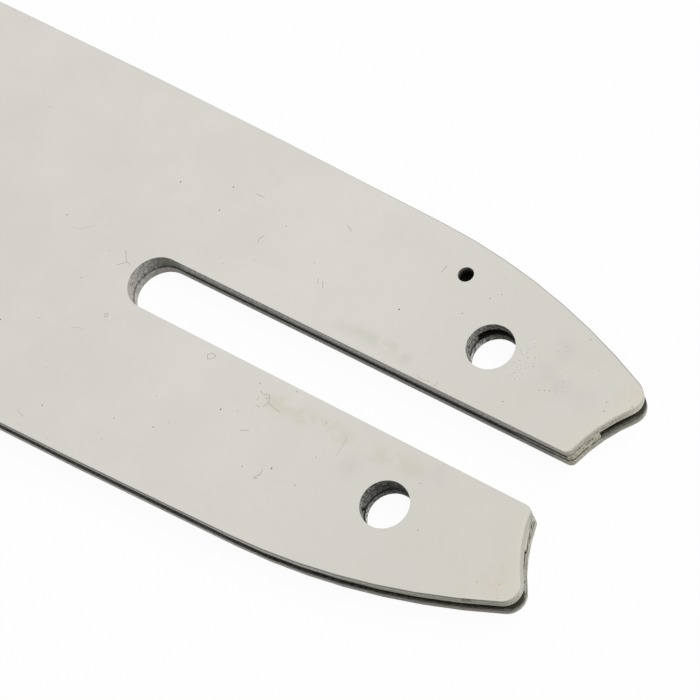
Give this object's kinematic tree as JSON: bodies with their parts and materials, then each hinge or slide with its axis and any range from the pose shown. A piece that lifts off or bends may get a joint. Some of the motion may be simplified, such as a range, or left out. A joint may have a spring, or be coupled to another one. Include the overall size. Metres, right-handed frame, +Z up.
{
  "type": "chainsaw guide bar",
  "caption": "Laminated chainsaw guide bar with an open stud slot, tension and oil holes at the tail, a chain groove round its edge and a turning sprocket in its nose.",
  "frame": {"origin": "midway between the two tension holes, on the stud slot's centreline, at the underside", "axes": "+X along the bar towards the nose, +Z up through the plates; the bar lies flat"},
  "size_m": [0.4246, 0.0612, 0.004],
  "materials": {
    "coated_plate": "satin",
    "core_steel": "matte",
    "sprocket_steel": "satin",
    "bearing_steel": "polished",
    "rivet_steel": "satin"
  },
  "bodies": {
    "bar": {"side_plate_top": "coated_plate", "core_plate": "core_steel", "side_plate_bottom": "coated_plate", "bearing_race": "bearing_steel", "nose_rivets": "rivet_steel"},
    "sprocket": {"nose_sprocket": "sprocket_steel"},
    "roller_set": {"bearing_roller_01": "bearing_steel", "bearing_roller_02": "bearing_steel", "bearing_roller_03": "bearing_steel", "bearing_roller_04": "bearing_steel", "bearing_roller_05": "bearing_steel", "bearing_roller_06": "bearing_steel", "bearing_roller_07": "bearing_steel", "bearing_roller_08": "bearing_steel", "bearing_roller_09": "bearing_steel", "bearing_roller_10": "bearing_steel", "bearing_roller_11": "bearing_steel", "bearing_roller_12": "bearing_steel", "bearing_roller_13": "bearing_steel", "bearing_roller_14": "bearing_steel", "bearing_roller_15": "bearing_steel", "bearing_roller_16": "bearing_steel"}
  },
  "joints": [
    {"name": "sprocket_spin", "type": "hinge", "parent": "bar", "child": "sprocket", "pos_m": [0.38, 0, 0.002], "axis": [0, 0, 1], "continuous": true},
    {"name": "roller_orbit", "type": "hinge", "parent": "bar", "child": "roller_set", "pos_m": [0.38, 0, 0.002], "axis": [0, 0, 1], "continuous": true}
  ],
  "couplings": [
    {"joint": "roller_orbit", "follows": "sprocket_spin", "ratio": 0.59444}
  ]
}
